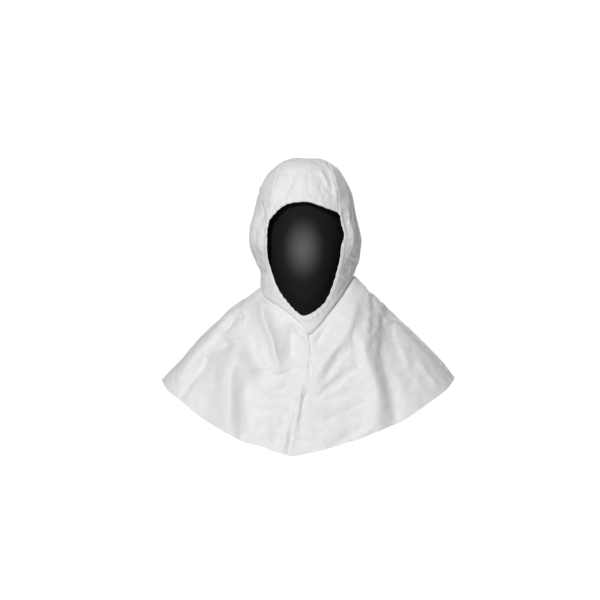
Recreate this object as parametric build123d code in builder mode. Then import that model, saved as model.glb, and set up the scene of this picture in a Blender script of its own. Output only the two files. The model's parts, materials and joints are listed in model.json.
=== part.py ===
"""Disposable protective hood with a shoulder cape, cut from thin white nonwoven fabric.

A crown panel and two side panels make the hood. Two cape halves hang from the neck seam and meet at
a front and a back seam. Every seam is serged on the inside. The face opening has a folded casing
with an elastic band in it, closed by a row of stitches.

Row frame: the origin is the middle of the wearer's head, between the ears. +Z is up, the face
opening looks along -Y, and +X is the right of the hood as seen from the front. Millimetres.
"""
from math import cos, exp, pi, radians, sin, sqrt
import os

from build123d import *

# Driving dimensions
FABRIC = 1.0            # wall that stands for the fabric
EAR_HALF_WIDTH = 103    # the hood's half width at the ears, its widest place
FACE_DEPTH = 100        # from the origin to the hood's front
OCCIPUT_DEPTH = 112     # from the origin to the back of the head
CROWN_HEIGHT = 150      # from the origin to the top of the crown
COLLAR_DROP = 185       # how far below the origin the hood's neck would reach without the cape
COLLAR_NARROWING = 66   # how much the half width shrinks on the way down to there
CHIN_TUCK = 13          # how far the front moves back under the chin
NAPE_TUCK = 80          # how far the back moves forward to the nape

NECK_DROP = 70          # height of the cape's neck line at the sides, below the origin
NECK_HALF_WIDTH = 83
NECK_FRONT = 60
NECK_BACK = 66
CAPE_FLARE = 1.02       # sideways growth of the cape's half width per millimetre down
CHEST_SWELL = 110       # how far the cape's front swells out over the chest in the end
CHEST_LENGTH = 250      # the length over which it does
BACK_SWELL = 105
BACK_LENGTH = 200
CAPE_TOP = -45          # levels between which the cape's cone is modelled, before it is trimmed
CAPE_FOOT = -390

HEM_FRONT = (0, -378)    # the hem's lowest point, at the front and back seams
HEM_MIDDLE = (142, -333)
HEM_CORNER = (266, -250)  # the hem's corner, over the shoulder
HEM_BEYOND = (420, -96)   # the same line run on past the fabric

BROW = 67               # the face opening's top edge, above the origin
FACE_SIDE = (           # points on its right side, and how each moves as a band around it grows
    ((61, 50), (0.9, 0.6)),      # the brow's corner, where a crown seam ends
    ((69, 8), (1, 0)),           # the cheek
    ((55, -68), (0.87, -0.49)),  # the jaw
    ((0, -130), (0, -1.3)),      # the chin
)
CASING_WIDTH = 12       # the hem folded in around the face opening
CASING_DEPTH = 2.0
ELASTIC_INSET = 3       # from the opening's edge to the elastic
ELASTIC_WIDTH = 6
ELASTIC_THICKNESS = 1.0
CLEARANCE = 0.05        # between a piece and the curved fabric that it lies along
STITCH_INSET = 10       # from the opening's edge to the row of stitches
STITCH_WIDTH = 0.6
STITCH_HEIGHT = 0.3

CROWN_SEAM_BROW = (61.5, -112)  # the crown panel's half width along its length, seen from above
CROWN_SEAM_TOP = (41, -5)
CROWN_SEAM_NAPE = (33, 125)

SERGE_DEPTH = 5.0       # how far a serged seam stands into the hood
SERGE_THICKNESS = 1.6

LABEL = (18, 0.5, 42)   # width, thickness and length of the blank care label
LABEL_TOP = -91
LABEL_X = 13
LABEL_Y = 70.5

REACH = 500             # larger than the garment: the size of cutting blocks
CROWN_STEPS = (0, 14, 28, 42, 56, 68, 78, 85)  # degrees above the ear line
COLLAR_STEPS = 7
CAPE_STEPS = 9


def ease(share):
    """0 to 1, flat at both ends."""
    return (1 - cos(pi * share)) / 2


def hood_section(z, inset):
    """Half width, front and back of the hood at height z, on a surface that lies inset inside it."""
    if z >= 0:
        roundness = sqrt(max(0.0, 1 - (z / (CROWN_HEIGHT - inset)) ** 2))
        return (
            (EAR_HALF_WIDTH - inset) * roundness,
            -(FACE_DEPTH - inset) * roundness,
            (OCCIPUT_DEPTH - inset) * roundness,
        )
    share = -z / COLLAR_DROP
    return (
        EAR_HALF_WIDTH - COLLAR_NARROWING * ease(share) - inset,
        -FACE_DEPTH + CHIN_TUCK * share**3 + inset,
        OCCIPUT_DEPTH - NAPE_TUCK * ease(share) - inset,
    )


def cape_section(z, inset):
    """Half width, front and back of the cape at height z. The inset follows the slope of each side."""
    drop = -NECK_DROP - z
    chest_slope = CHEST_SWELL / CHEST_LENGTH * exp(-drop / CHEST_LENGTH)
    back_slope = BACK_SWELL / BACK_LENGTH * exp(-drop / BACK_LENGTH)
    return (
        NECK_HALF_WIDTH + CAPE_FLARE * drop - inset * sqrt(1 + CAPE_FLARE**2),
        -NECK_FRONT
        - CHEST_SWELL * (1 - exp(-drop / CHEST_LENGTH))
        + inset * sqrt(1 + chest_slope**2),
        NECK_BACK
        + BACK_SWELL * (1 - exp(-drop / BACK_LENGTH))
        - inset * sqrt(1 + back_slope**2),
    )


def loft_sections(levels, section, inset):
    """A solid through one ellipse at each level."""
    with BuildPart() as form:
        for z in levels:
            half_width, front, back = section(z, inset)
            with BuildSketch(Plane.XY.offset(z)):
                with Locations((0, (front + back) / 2)):
                    Ellipse(half_width, (back - front) / 2)
        loft()
    return form.part


def hood_form(inset):
    """The space inside the hood's surface, or inside one that lies inset deeper."""
    crown = [(CROWN_HEIGHT - inset) * sin(radians(step)) for step in CROWN_STEPS]
    collar = [-COLLAR_DROP * step / COLLAR_STEPS for step in range(COLLAR_STEPS, 0, -1)]
    return loft_sections(collar + crown, hood_section, inset)


def cape_form(inset):
    """The space under the cape's cone, or under one that lies inset deeper."""
    drop = (CAPE_TOP - CAPE_FOOT) / CAPE_STEPS
    levels = [CAPE_FOOT + drop * step for step in range(CAPE_STEPS + 1)]
    return loft_sections(levels, cape_section, inset)


def face_outline(grow):
    """The face opening seen from the front, grown outwards by grow, as a block that runs forwards."""
    side = [(x + grow * out, z + grow * up) for (x, z), (out, up) in FACE_SIDE]
    brow_corner = side[0]
    with BuildPart() as block:
        with BuildSketch(Plane.XZ):
            with BuildLine():
                ThreePointArc((-brow_corner[0], brow_corner[1]), (0, BROW + grow), brow_corner)
                right = Spline(side)
                mirror(right, about=Plane.YZ)
            make_face()
        extrude(amount=REACH)
    return block.part


def face_band(inner, outer):
    """The ring around the face opening, from inner to outer millimetres away from its edge."""
    with BuildPart() as band:
        add(face_outline(outer))
        add(face_outline(inner), mode=Mode.SUBTRACT)
    return band.part


def crown_block(grow):
    """The crown panel's outline seen from above, grown sideways by grow, without the space below the brow."""
    with BuildPart() as block:
        with BuildSketch():
            with BuildLine():
                right = ThreePointArc(
                    (CROWN_SEAM_BROW[0] + grow, CROWN_SEAM_BROW[1]),
                    (CROWN_SEAM_TOP[0] + grow, CROWN_SEAM_TOP[1]),
                    (CROWN_SEAM_NAPE[0] + grow, CROWN_SEAM_NAPE[1]),
                )
                left = mirror(right, about=Plane.YZ)
                Line(right @ 0, left @ 0)
                Line(right @ 1, left @ 1)
            make_face()
        extrude(amount=REACH, both=True)
        with Locations((0, -REACH / 2, -REACH / 2)):
            Box(REACH, REACH, REACH, mode=Mode.SUBTRACT)
    return block.part


def middle_slab(y_side):
    """A slab as thick as a serged seam on the middle plane, in front (-1) or behind (1), below the ears."""
    with BuildPart() as slab:
        with Locations((0, y_side * REACH / 2, -REACH / 2)):
            Box(SERGE_THICKNESS, REACH, REACH)
    return slab.part


def below_hem():
    """The space below the curved hem, which is the same at the front and the back."""
    with BuildPart() as space:
        with BuildSketch(Plane.XZ):
            with BuildLine():
                ThreePointArc(HEM_FRONT, HEM_MIDDLE, HEM_CORNER)
                Polyline(HEM_CORNER, HEM_BEYOND, (HEM_BEYOND[0], -REACH), (0, -REACH))
                Line((0, -REACH), HEM_FRONT)
            make_face()
            mirror(about=Plane.YZ)
        extrude(amount=REACH, both=True)
    return space.part


def cut_from(*kept, without=()):
    """What the first shape shares with each of the others, without the shapes in without."""
    with BuildPart() as piece:
        add(kept[0])
        for shape in kept[1:]:
            add(shape, mode=Mode.INTERSECT)
        for shape in without:
            add(shape, mode=Mode.SUBTRACT)
    return piece.part


def write(piece, label):
    """Writes one finished piece as its own STEP file."""
    piece.part.label = label
    export_step(piece.part, f"parts/{label}.step")


def write_pair(piece, label):
    """Writes a piece of the garment's right side, and its mirror image for the left side."""
    with BuildPart() as twin:
        add(piece.part)
        mirror(about=Plane.YZ, mode=Mode.REPLACE)
    write(piece, f"{label}_right")
    write(twin, f"{label}_left")


os.makedirs("parts", exist_ok=True)

# Surfaces and cutting blocks that several pieces share
hood_outside = hood_form(0)
hood_inside = hood_form(FABRIC)
cape_inside = cape_form(FABRIC)
hood_lining = hood_form(FABRIC + CLEARANCE)
hood_serge_layer = cut_from(hood_lining, without=[hood_form(FABRIC + SERGE_DEPTH)])
cape_serge_layer = cut_from(
    cape_form(FABRIC + CLEARANCE), without=[cape_form(FABRIC + SERGE_DEPTH)]
)
face_hole = face_outline(0)
casing_band = face_band(0, CASING_WIDTH)
crown_outline = crown_block(0)
crown_seam_wall = cut_from(
    crown_block(SERGE_THICKNESS / 2), without=[crown_block(-SERGE_THICKNESS / 2)]
)
hem_cut = below_hem()
with BuildPart() as right_half:
    with Locations((REACH / 2, 0, 0)):
        Box(REACH, 2 * REACH, 2 * REACH)

# Fabric of the hood: the crown panel and the two side panels
with BuildPart() as hood_fabric:
    add(hood_outside)
    add(hood_inside, mode=Mode.SUBTRACT)
    add(cape_inside, mode=Mode.SUBTRACT)
    add(face_hole, mode=Mode.SUBTRACT)

with BuildPart() as crown_panel:
    add(hood_fabric.part)
    add(crown_outline, mode=Mode.INTERSECT)
write(crown_panel, "crown_panel")

with BuildPart() as hood_side:
    add(hood_fabric.part)
    add(crown_outline, mode=Mode.SUBTRACT)
    add(right_half.part, mode=Mode.INTERSECT)
write_pair(hood_side, "hood_side")

# Fabric of the cape: two halves
with BuildPart() as cape_fabric:
    add(cape_form(0))
    add(cape_inside, mode=Mode.SUBTRACT)
    add(hood_outside, mode=Mode.SUBTRACT)
    add(hem_cut, mode=Mode.SUBTRACT)

with BuildPart() as cape_half:
    add(cape_fabric.part)
    add(right_half.part, mode=Mode.INTERSECT)
write_pair(cape_half, "cape")

# Face opening: the folded casing with its channel, the elastic in it, and the row of stitches
elastic_outer_depth = FABRIC + 2 * CLEARANCE
elastic_inner_depth = elastic_outer_depth + ELASTIC_THICKNESS
with BuildPart() as face_casing:
    add(hood_lining)
    add(hood_form(FABRIC + CASING_DEPTH), mode=Mode.SUBTRACT)
    add(casing_band, mode=Mode.INTERSECT)
    add(
        cut_from(
            face_band(ELASTIC_INSET - CLEARANCE, ELASTIC_INSET + ELASTIC_WIDTH + CLEARANCE),
            hood_inside,
            without=[hood_form(elastic_inner_depth + CLEARANCE)],
        ),
        mode=Mode.SUBTRACT,
    )
write(face_casing, "face_casing")

with BuildPart() as face_elastic:
    add(hood_form(elastic_outer_depth))
    add(hood_form(elastic_inner_depth), mode=Mode.SUBTRACT)
    add(face_band(ELASTIC_INSET, ELASTIC_INSET + ELASTIC_WIDTH), mode=Mode.INTERSECT)
write(face_elastic, "face_elastic")

with BuildPart() as casing_stitching:
    add(hood_form(-CLEARANCE - STITCH_HEIGHT))
    add(hood_form(-CLEARANCE), mode=Mode.SUBTRACT)
    add(face_band(STITCH_INSET, STITCH_INSET + STITCH_WIDTH), mode=Mode.INTERSECT)
write(casing_stitching, "casing_stitching")

# Serged seams, which stand inwards from the fabric
with BuildPart() as neck_seam:
    add(hood_outside)
    add(hood_form(SERGE_THICKNESS), mode=Mode.SUBTRACT)
    add(cape_serge_layer, mode=Mode.INTERSECT)
write(neck_seam, "neck_seam")

with BuildPart() as crown_seam:
    add(hood_serge_layer)
    add(crown_seam_wall, mode=Mode.INTERSECT)
    add(right_half.part, mode=Mode.INTERSECT)
    add(casing_band, mode=Mode.SUBTRACT)
    add(face_hole, mode=Mode.SUBTRACT)
    add(cape_inside, mode=Mode.SUBTRACT)
write_pair(crown_seam, "crown_seam")

with BuildPart() as chin_seam:
    add(hood_serge_layer)
    add(middle_slab(-1), mode=Mode.INTERSECT)
    add(casing_band, mode=Mode.SUBTRACT)
    add(face_hole, mode=Mode.SUBTRACT)
    add(cape_inside, mode=Mode.SUBTRACT)
write(chin_seam, "chin_seam")

for name, y_side in {"front": -1, "back": 1}.items():
    with BuildPart() as cape_seam:
        add(cape_serge_layer)
        add(middle_slab(y_side), mode=Mode.INTERSECT)
        add(hood_outside, mode=Mode.SUBTRACT)
        add(hem_cut, mode=Mode.SUBTRACT)
    write(cape_seam, f"cape_{name}_seam")

# Blank care label, caught in the neck seam at the nape
width, thickness, length = LABEL
with BuildPart() as care_label:
    with Locations((LABEL_X, LABEL_Y, LABEL_TOP - length / 2)):
        Box(width, thickness, length)
    add(neck_seam.part, mode=Mode.SUBTRACT)
write(care_label, "care_label")
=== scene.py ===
import json
import math

import bpy
import numpy as np
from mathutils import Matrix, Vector, noise

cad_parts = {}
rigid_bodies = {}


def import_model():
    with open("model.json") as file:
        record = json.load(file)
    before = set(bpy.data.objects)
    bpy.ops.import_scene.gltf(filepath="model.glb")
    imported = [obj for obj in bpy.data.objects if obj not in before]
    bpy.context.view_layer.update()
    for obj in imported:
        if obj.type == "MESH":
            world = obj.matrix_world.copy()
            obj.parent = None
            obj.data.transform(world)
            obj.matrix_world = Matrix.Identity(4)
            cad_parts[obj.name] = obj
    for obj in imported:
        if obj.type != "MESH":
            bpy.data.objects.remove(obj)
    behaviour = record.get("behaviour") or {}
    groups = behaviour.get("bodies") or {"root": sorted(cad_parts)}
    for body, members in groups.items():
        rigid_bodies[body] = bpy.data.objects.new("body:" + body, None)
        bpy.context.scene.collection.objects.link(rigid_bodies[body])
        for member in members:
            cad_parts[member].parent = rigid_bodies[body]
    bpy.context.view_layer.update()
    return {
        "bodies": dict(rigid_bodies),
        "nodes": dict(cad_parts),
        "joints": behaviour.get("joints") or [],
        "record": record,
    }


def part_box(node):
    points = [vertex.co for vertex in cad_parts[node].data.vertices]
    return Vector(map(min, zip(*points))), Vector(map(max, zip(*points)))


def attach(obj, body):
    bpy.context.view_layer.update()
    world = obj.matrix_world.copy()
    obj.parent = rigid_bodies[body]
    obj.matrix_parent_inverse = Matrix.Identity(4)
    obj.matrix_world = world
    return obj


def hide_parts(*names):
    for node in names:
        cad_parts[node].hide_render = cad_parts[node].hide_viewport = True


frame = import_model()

scene = bpy.context.scene

# Lengths below are millimetres in the frame's axes, and MM turns them into Blender's metres.
MM = 0.001

# ---- sizes taken from the frame
CROWN_RISE = 6.5  # how far folds and creases lift the crown's top
OCCIPUT_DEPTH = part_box("crown_panel")[1].y / MM
CROWN_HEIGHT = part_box("crown_panel")[1].z / MM - CROWN_RISE
CAPE_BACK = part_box("cape_right")[1].y / MM
CAPE_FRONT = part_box("cape_right")[0].y / MM
HEM_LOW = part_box("cape_right")[0].z / MM
LABEL_LOW, LABEL_HIGH = (np.array(corner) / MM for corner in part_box("care_label"))

# ---- the hood as it is worn
FACE_DEPTH = 100  # from the origin to the hood's front
COLLAR_DROP = 185  # and down to the lower end of its form, inside the cape
CHIN_TUCK = 13  # how far the front lies back at that end
NAPE_TUCK = 80  # and the back lies forward
OPENING_GROWTH = 3  # from the opening's outline out to the ring of fabric under the rolled edge
HEAD_MIDDLE = np.array((0.0, 0.0, -10.0))
# The hood's outline from the front, on each side: (height, half width).
HOOD_RIGHT = ((150, 0), (147, 17), (137, 40), (126, 57), (115, 66), (94, 79), (72, 86), (40, 91), (18, 97),
              (-4, 101), (-36, 96), (-58, 88), (-80, 78), (-120, 58), (-185, 36))
HOOD_LEFT = ((150, 0), (147, 13), (137, 36), (126, 52), (115, 64), (94, 79), (83, 82), (72, 86), (50, 90),
             (29, 96), (7, 98), (-14, 96), (-36, 86), (-47, 81), (-58, 77), (-80, 75), (-120, 58),
             (-185, 36))

# Rings round the hood, from the face opening back to the neck seam. Each runs from the chin seam up the
# right, over the crown and down the left. Points are (x, z) in the face ring, and (x, y, z) in the others.
FACE_RIGHT = ((0, -130), (20, -121), (38, -104), (49, -79), (57, -52), (62, -31), (64, -10), (68, 3),
              (69, 14), (65, 28), (59, 48))
FACE_CROWN = ((35, 58.5), (12, 67), (-3, 69), (-34, 64))
FACE_LEFT = ((-59, 42), (-66, 24), (-68, 4), (-66, -31), (-57, -62), (-46, -88), (-27, -113), (-12, -126))
NECK_RIGHT = ((6, -92, -167), (20, -87, -158), (45, -69, -127), (66, -44, -97), (84, -12, -66),
              (84, 22, -66), (65, 52, -76), (33, 70, -86))
NECK_CROWN = ((0, 75, -90),)
NECK_LEFT = ((-33, 70, -87), (-63, 52, -82), (-76, 22, -84), (-76, -14, -94), (-69, -42, -106),
             (-45, -68, -120), (-22, -84, -136), (-4, -91, -152))
# Those between are the same on both sides: share of the way from face to neck, how much the columns
# crowd towards the chin, and points on the right.
BETWEEN = (
    (0.3, 1.13, ((0, -96, -137), (60, -64, -88), (85, -50, -20), (88, -42, 40), (52, -50, 108),
                 (0, -58, 125))),
    (0.55, 1.24, ((0, -96, -145), (72, -45, -88), (100, 0, -30), (98, 12, 40), (41, 0, 137), (0, 0, 150))),
    (0.8, 1.16, ((0, -95, -153), (74, -42, -90), (90, 20, -55), (84, 62, -5), (36, 104, 10), (0, 112, 10))),
)
COLUMN_RANGE = (60, 160)  # columns this short run straight, and those this long follow the rings
EDGE_BLEND = 28  # the hood settles from its edges to its own form over this length

SIDE_COLUMNS = 176  # mesh columns across a side panel
CROWN_COLUMNS = 84  # and across the crown panel
LEFT_START = SIDE_COLUMNS + CROWN_COLUMNS  # where the left side panel starts
HOOD_ROWS = 210  # mesh rows from the face opening to the neck seam
PATH_POINTS = 160  # points on a column while its path is worked out
NORMAL_REACH = 4  # cells on each side that a normal is averaged over

# ---- the cape as it is worn
# Its half widths grow down from the neck, and the chest and back swell out under it.
NECK_DROP = 70  # from the origin down to where the cape's form starts
NECK_FRONT = 60  # how far forward and back it is there
NECK_BACK = 66
CHEST_LENGTH = 250  # how far down most of the swelling of the chest and the back reaches
BACK_LENGTH = 200
CAPE_MIDDLE = np.array((0, 0, -330))
RIGHT_SLOPE = ((93, -63), (270, -250))  # (half width, height) of the cape's right outline
RIGHT_HOLLOW = (4, -135, 26)  # how deep it dips below the shoulder, and the dip's height and spread
LEFT_SLOPE = ((103, -90), (256, -250))
LEFT_HOLLOW = (8, -146, 25)
# The hem from the front, as (distance from the middle, height), and the front seam, as (x, height).
HEM_RIGHT = ((0, -378), (30, -371), (98, -347), (146, -327), (177, -314), (225, -284), (254, -265),
             (272, -245))
HEM_LEFT = ((0, -378), (45, -368), (66, -361), (110, -351), (177, -317), (223, -283), (248, -265),
            (272, -232))
FRONT_SEAM = ((6, -168), (7, -190), (4, -222), (0, -252), (-9, -283), (-16, -330), (-23, -378))
SEAM_SPREAD = 70  # how far to each side the fabric follows the front seam's wander
CAPE_COLUMNS = 250  # mesh columns across a cape half
CAPE_ROWS = 150
NECK_BLEND = 18  # the cape settles from the neck seam to its own form over this drop

# ---- relief of the fabric
NARROW = 8  # folds with slopes up to this wide are pressed in after the simulation
FOLD_DEPTH = 2.5  # the cape's wider folds are this many times as deep as drawn
CREASE_DEPTH = 1.5  # and its narrow ones this many times
FOLD_FACING = (-0.15, 0.5)  # folds fade in as the surface turns to their view
FOLD_TAPER = (-0.02, 0.3)  # and from each end of their path
# Uneven fabric: (height, width of the bumps, seed). The swells come before the simulation.
HOOD_SWELLS, HOOD_FACETS, HOOD_RIPPLES = (2.5, 70, 1), (1.1, 34, 2), (0.5, 13, 3)
CAPE_SWELLS, CAPE_FACETS, CAPE_RIPPLES = (3, 110, 4), (1.3, 42, 5), (0.6, 16, 6)
# Ridges and grooves along an edge: (height or depth, distance from the edge, spread).
OPENING_ROLL = (1.2, 0, 2.5)
STITCH_GROOVE = (0.5, 10, 1.2)
HOOD_NECK_RIDGE, HOOD_NECK_GROOVE = (1.6, 9, 6), (2.4, 0, 3.5)
CAPE_NECK_RIDGE = (1.5, 8, 6)
# Seams draw the fabric in: (depth, width).
CROWN_SEAM_DIP = (0.9, 1.6)
CAPE_SEAM_DIP = (1.1, 2.4)
GATHER_PITCH = 13  # wavelength of the gathers round the face opening
GATHER_REACH = 11  # how far they fade back from it
GATHER_HEIGHT = 0.7
GATHER_REST = 14  # they fade out over this length on each side of the chin seam

# ---- cloth simulation
HOLD = 0.08  # how firmly cloth away from the edges keeps its place, from 0 to 1
HOOD_SPARE = 0.022  # spare cloth, as a share of each length
CAPE_SPARE = 0.024
LEAST_SPARE = 0.002
CALM_SHARE = 0.7  # the share of it that the cape's outer parts lack
CALM_RANGE = (100, 160)  # and between which distances from the middle that comes in
CLOTH = (  # the simulation's settings
    ("pin_stiffness", 0.5), ("quality", 6), ("mass", 0.05), ("tension_stiffness", 25),
    ("compression_stiffness", 25), ("shear_stiffness", 10), ("bending_stiffness", 1),
)
FRAMES = 16

# ---- edges and seams
SHELL = 0.4  # thickness of the fabric as it is modelled
# The casing and the elastic in section: (distance from the opening's edge, depth).
CASING_LINE = ((-0.2, 0.2), (-1, 0.7), (-1, 1.5), (0.8, 2), (3, 2.2), (6, 2.4), (9, 2.2), (10.4, 0.9),
               (12.5, 0.8))
ELASTIC_LOOP = ((3, 0.8), (9, 0.8), (9, 1.7), (3, 1.7))
CASING_WIDTH = 13  # the serged edges start behind it
STITCH_LINE = (10, -0.12)  # where the stitches run, as in the section above
STITCH_PITCH = 3.2
STITCH_POINTS = 8  # points in a pitch
THREAD_POINTS = 6  # and how many of them a stitch runs along
THREAD_RADIUS = 0.22
SERGE_GAP = 0.5  # between the fabric's outside and the serged edge
SERGE_DEPTH = 5
SERGE_THICKNESS = 1.1
SERGE_STEP = 1.5  # between the stations along a serged edge
SERGE_PITCH = 2  # stations in a stitch
# One loop of thread round a serged edge: (place along it, share of the depth, side).
SERGE_LOOP = ((0, 0.3, 1), (0.4, 0.75, 1), (0.8, 1.06, 0.5), (0.9, 1.06, -0.5), (1.3, 0.75, -1),
              (1.7, 0.3, -1), (1.8, 0.75, -1), (1.9, 1.06, 0))
THREAD_CLEARANCE = 0.2
CROWN_SEAM_STOP = 3  # the crown seams' serged edges stop this many rows short of the neck seam
CAPE_SEAM_START = 6  # and the cape's start this many rows below it
LABEL_THICKNESS = 0.3

# ---- stage and camera
HEAD_FORM = (  # height, half width, front and back of the display head
    (134, 6, -6, 6), (130, 36, -34, 40), (106, 60, -62, 72), (60, 74, -72, 94), (0, 80, -72, 98),
    (-60, 66, -74, 70), (-110, 44, -72, 48), (-150, 38, -50, 44), (-200, 42, -46, 44),
)
HEAD_COLUMNS = 64
PAINTED_HIGHLIGHT_MIDDLE = (-3, -75, -13)  # a painted highlight on it, and how far that reaches along each axis
PAINTED_HIGHLIGHT_SIZE = (42, 200, 64)
AIM = (-9, 0, -108)  # the middle of the picture
VIEW_ELEVATION = 2.5  # degrees
VIEW_DISTANCE = 6  # metres
LENS = 200
FLOOR_HEIGHT = -950
FLOOR_RADIUS = 1200
FLOOR_CORNERS = 96
FLOOR_GLOW = 0.42
BACKDROP_GLOW = 1.05
AMBIENT = 0.27  # strength of the world's light on the object
LIGHTS = (  # name, place and diameter in metres, watts
    ("key", (-1.05, -3.4, 2.05), 0.8, 109),
    ("back", (0.7, 3.6, 0.7), 1.6, 42),
)

# ---- folds
# By the view they belong to, drawn with x (at the sides y) to the right and z up: path, height, and widths
# of the slopes on the right and the left of the way it runs. Valleys have negative heights.
CAPE_FOLDS = {}
CAPE_FOLDS["front"] = (
    (((-100, -108), (-137, -150), (-171, -189), (-203, -224), (-240, -262)), 6.5, 14, 8),
    (((-117, -133), (-135, -155), (-151, -172)), -2.5, 5, 5),
    (((-122, -181), (-142, -190), (-161, -202)), -2.5, 4, 4),
    (((-165, -196), (-173, -204), (-192, -235), (-205, -250), (-232, -295)), -5, 7, 8),
    (((-110, -165), (-114, -182), (-118, -218), (-129, -250), (-131, -283), (-135, -380)), 10, 32, 20),
    (((-94, -165), (-92, -180), (-87, -207), (-69, -239), (-57, -255)), -6, 16, 8),
    (((-77, -96), (-70, -145), (-58, -181), (-50, -215), (-48, -244)), 6.5, 12, 10),
    (((-54, -247), (-36, -239), (-16, -235)), -1.6, 6, 6),
    (((-42, -257), (-24, -253), (-8, -247)), -0.8, 5, 5),
    (((-27, -146), (-24, -185), (-28, -222)), -5, 14, 14),
    (((-20, -148), (-10, -168), (2, -192)), 2.5, 4, 4),
    (((-2, -172), (3, -222), (0, -252), (-9, -283), (-16, -330), (-25, -400)), 2.6, 7, 5),
    (((7, -180), (11, -225), (8, -256), (0, -285), (-7, -330), (-14, -400)), -1.8, 4, 5),
    (((-6, -252), (-20, -300), (-32, -345), (-44, -405)), 3.2, 8, 6),
    (((-8, -266), (-15, -300), (-24, -345), (-33, -405)), -2, 4, 4),
    (((-10, -266), (-24, -305), (-43, -338), (-62, -385)), -2.8, 10, 7),
    (((91, -90), (86, -126), (78, -152), (65, -180), (38, -215), (16, -250), (2, -278)), 7, 22, 16),
    (((46, -128), (34, -155), (26, -178), (17, -210)), -3.5, 12, 12),
    (((4, -287), (15, -285), (27, -268), (45, -250), (72, -230)), 2.4, 7, 11),
    (((113, -100), (113, -141), (106, -174), (104, -207), (115, -240), (124, -261), (128, -294),
      (126, -380)), 5.2, 24, 26),
    (((140, -118), (142, -160), (142, -205), (152, -250), (160, -300), (165, -370)), -3, 17, 20),
    (((169, -185), (180, -211), (191, -242)), 1.6, 6, 6),
    (((200, -210), (223, -246), (246, -272)), 1.6, 6, 6),
)
CAPE_FOLDS["back"] = (
    (((-20, -100), (-34, -180), (-52, -260), (-66, -390)), 5, 20, 16),
    (((24, -100), (40, -170), (70, -250), (104, -370)), 6, 22, 18),
    (((2, -130), (6, -200), (18, -290), (30, -400)), -3.5, 14, 14),
    (((-60, -95), (-96, -170), (-130, -250), (-156, -350)), 5, 22, 20),
    (((66, -95), (118, -170), (150, -240), (176, -330)), 4.5, 20, 24),
    (((-44, -120), (-66, -190), (-92, -270), (-110, -380)), -4, 14, 14),
    (((48, -120), (76, -180), (110, -250), (140, -350)), -4, 14, 14),
    (((-100, -130), (-160, -200), (-205, -280)), -3, 14, 14),
    (((-70, -230), (-40, -250), (-12, -262), (14, -292)), 2, 6, 8),
    (((120, -190), (90, -214), (66, -228)), 2, 5, 8),
)
CAPE_FOLDS["left"] = (
    (((-14, -110), (-34, -150), (-56, -200), (-76, -260)), -3, 14, 12),
    (((20, -100), (26, -150), (40, -200), (46, -270)), 2.5, 16, 14),
    (((52, -100), (76, -160), (98, -220), (112, -280)), 4, 14, 14),
    (((38, -120), (52, -170), (70, -230), (80, -280)), -3, 9, 9),
)
CAPE_FOLDS["right"] = (
    (((-20, -110), (-46, -150), (-66, -200), (-88, -260)), -2.5, 12, 14),
    (((14, -90), (20, -140), (24, -200), (26, -270)), 2, 16, 14),
    (((54, -90), (72, -150), (100, -210), (108, -280)), 4, 14, 16),
    (((34, -110), (44, -160), (62, -220), (70, -280)), -3, 10, 9),
)
HOOD_FOLDS = {}
HOOD_FOLDS["front"] = (
    (((-30, 134), (-46, 102), (-57, 75), (-60, 55)), 4.5, 9, 6),
    (((-18, 124), (-28, 100), (-41, 72)), -3.5, 6, 6),
    (((30, 138), (47, 117), (53, 92), (61, 60)), 4, 5, 7),
    (((22, 130), (36, 106), (47, 86)), 3.5, 5, 5),
    (((-86, 84), (-80, 48), (-75, 20), (-74, -10), (-77, -52)), -5, 13, 7),
    (((-92, 40), (-94, 0), (-90, -30)), 4, 12, 12),
    (((70, 80), (81, 27), (85, -9), (74, -44)), 3.5, 5, 5),
    (((66, 60), (74, 28), (78, 4)), -3, 4, 4),
    (((84, 60), (91, 30), (95, 0), (86, -36)), -2.5, 4, 4),
    (((94, -8), (84, -40), (72, -70)), -4, 9, 7),
    (((99, -18), (98, -30), (93, -40)), 3, 5, 5),
)
HOOD_FOLDS["back"] = (
    (((-64, -30), (-36, -50), (0, -57), (34, -48), (62, -28)), 3, 7, 9),
    (((-70, -54), (-34, -72), (4, -78), (40, -70)), 2.5, 6, 6),
    (((-60, -44), (-30, -63), (10, -68), (50, -58)), -2, 5, 5),
    (((-12, 110), (-18, 50), (-10, -10), (-16, -44)), 2.5, 14, 10),
    (((20, 104), (26, 40), (16, -24)), -2.5, 10, 12),
    (((70, 60), (62, 10), (70, -40)), 2.5, 10, 8),
    (((-62, 80), (-70, 20), (-60, -36)), -2.5, 9, 9),
)
HOOD_FOLDS["right"] = (
    (((24, 96), (40, 30), (34, -30), (10, -62)), 2.5, 12, 10),
    (((64, 80), (80, 10), (62, -44)), 3, 10, 12),
    (((50, 60), (60, 0), (48, -40)), -2.5, 7, 7),
    (((-30, 100), (-14, 40), (-20, -10), (-36, -60)), -2.5, 10, 10),
)
HOOD_FOLDS["left"] = (
    (((-20, 110), (-42, 40), (-30, -30), (-8, -66)), -3, 10, 12),
    (((-60, 70), (-78, 6), (-58, -50)), 3, 12, 10),
    (((20, 90), (8, 40), (14, -20)), -2, 9, 9),
)


# ---- curves and forms
def smooth(low, high, value):
    """0 below low, 1 above high, and a smooth step between."""
    share = np.clip((value - low) / (high - low), 0, 1)
    return share * share * (3 - 2 * share)


def ridge(distance, height, middle, spread):
    """The height of a rounded ridge, by the distance from an edge."""
    return height * np.exp(-(((distance - middle) / spread) ** 2))


def at_row(values, row):
    """The value at a fractional row."""
    low = int(row)
    high = min(low + 1, len(values) - 1)
    return values[low] * (1 - (row - low)) + values[high] * (row - low)


def unit(vectors):
    return vectors / np.maximum(np.linalg.norm(vectors, axis=-1, keepdims=True), 1e-9)


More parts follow.
